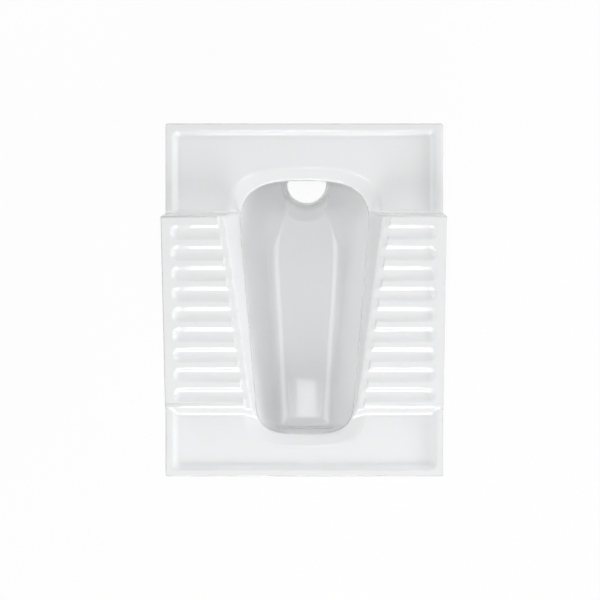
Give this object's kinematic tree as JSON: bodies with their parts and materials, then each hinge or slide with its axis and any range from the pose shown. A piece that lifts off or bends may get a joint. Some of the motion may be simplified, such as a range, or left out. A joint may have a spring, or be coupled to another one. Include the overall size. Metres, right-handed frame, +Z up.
{
  "type": "squat toilet pan",
  "caption": "Rectangular china squat toilet pan with ribbed foot treads, front and rear splash trays, a tapering bowl and a straight-through rear outlet.",
  "frame": {"origin": "middle of the skirt's foot, the plane in which the pan sits on the floor or mortar bed", "axes": "+Y to the rear, where the outlet is; +X to the right of someone facing the rear; +Z up"},
  "size_m": [0.472, 0.6, 0.2715],
  "materials": {
    "deck_china": "glossy white glaze, bare biscuit underneath",
    "bowl_china": "glossy white glaze inside, bare biscuit outside",
    "horn_china": "glazed bore, bare biscuit outside",
    "inlet_china": "bare biscuit",
    "inlet_rubber": "matt black rubber",
    "outlet_rubber": "matt black rubber"
  },
  "bodies": {
    "root": {"deck": "deck_china", "bowl": "bowl_china", "outlet_horn": "horn_china", "inlet_box": "inlet_china", "inlet_seal": "inlet_rubber", "outlet_seal": "outlet_rubber"}
  },
  "joints": []
}
